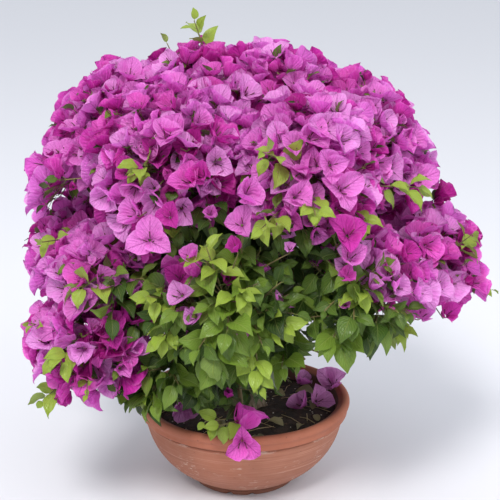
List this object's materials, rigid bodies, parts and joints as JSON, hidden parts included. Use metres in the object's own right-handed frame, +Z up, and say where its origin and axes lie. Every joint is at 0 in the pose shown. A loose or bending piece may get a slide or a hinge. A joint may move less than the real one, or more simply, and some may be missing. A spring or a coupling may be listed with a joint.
{
  "type": "potted bougainvillea bush",
  "caption": "Bushy bougainvillea in a round terracotta bowl: a short forked trunk carries a wide dome of papery magenta bracts and green leaves, and it stands on the bowl's flat foot.",
  "frame": {"origin": "centre of the bowl's flat underside, on the surface that the plant stands on", "axes": "+Z up out of the bowl, -Y towards the side the picture shows, +X to the right of that side, so the longest tress hangs at -X, -Y"},
  "size_m": [0.9098, 0.807, 0.9103],
  "materials": {
    "terracotta": "matt unglazed clay",
    "soil": "matt moist potting soil",
    "bark": "rough grey-brown bark",
    "young_bark": "smooth green-brown young bark",
    "bracts": "thin papery magenta bracts",
    "leaves": "satin green leaves"
  },
  "bodies": {
    "root": {"terracotta_bowl": "terracotta", "soil": "soil", "trunk": "bark", "stem_back": "bark", "stem_front": "bark", "stem_left": "bark", "stem_middle": "bark", "stem_right": "bark", "bough_low_back_left": "young_bark", "bough_low_back_right": "young_bark", "bough_low_front_left": "young_bark", "bough_low_front_right": "young_bark", "bough_low_left": "young_bark", "bough_low_right": "young_bark", "bough_sprig_front": "young_bark", "bough_top_crown": "young_bark", "bough_tress_left": "young_bark", "bough_tress_right": "young_bark", "bough_upper_back_left": "young_bark", "bough_upper_back_right": "young_bark", "bough_upper_front_left": "young_bark", "bough_upper_front_right": "young_bark", "bough_upper_left": "young_bark", "bough_upper_right": "young_bark", "bough_waist_back": "young_bark", "bough_waist_back_left": "young_bark", "bough_waist_back_right": "young_bark", "bough_waist_front": "young_bark", "bough_waist_front_left": "young_bark", "bough_waist_front_right": "young_bark", "bough_waist_left": "young_bark", "bloom_top_crown": "bracts", "bloom_tress_left": "bracts", "bloom_tress_right": "bracts", "bloom_upper_back_left": "bracts", "bloom_upper_back_right": "bracts", "bloom_upper_front_left": "bracts", "bloom_upper_front_right": "bracts", "bloom_upper_left": "bracts", "bloom_upper_right": "bracts", "bloom_waist_back_left": "bracts", "bloom_waist_back_right": "bracts", "bloom_waist_front_left": "bracts", "bloom_waist_left": "bracts", "leaf_low_back_left": "leaves", "leaf_low_back_right": "leaves", "leaf_low_front_left": "leaves", "leaf_low_front_right": "leaves", "leaf_low_left": "leaves", "leaf_low_right": "leaves", "leaf_sprig_front": "leaves", "leaf_waist_back": "leaves", "leaf_waist_front": "leaves", "leaf_waist_front_right": "leaves"}
  },
  "joints": []
}
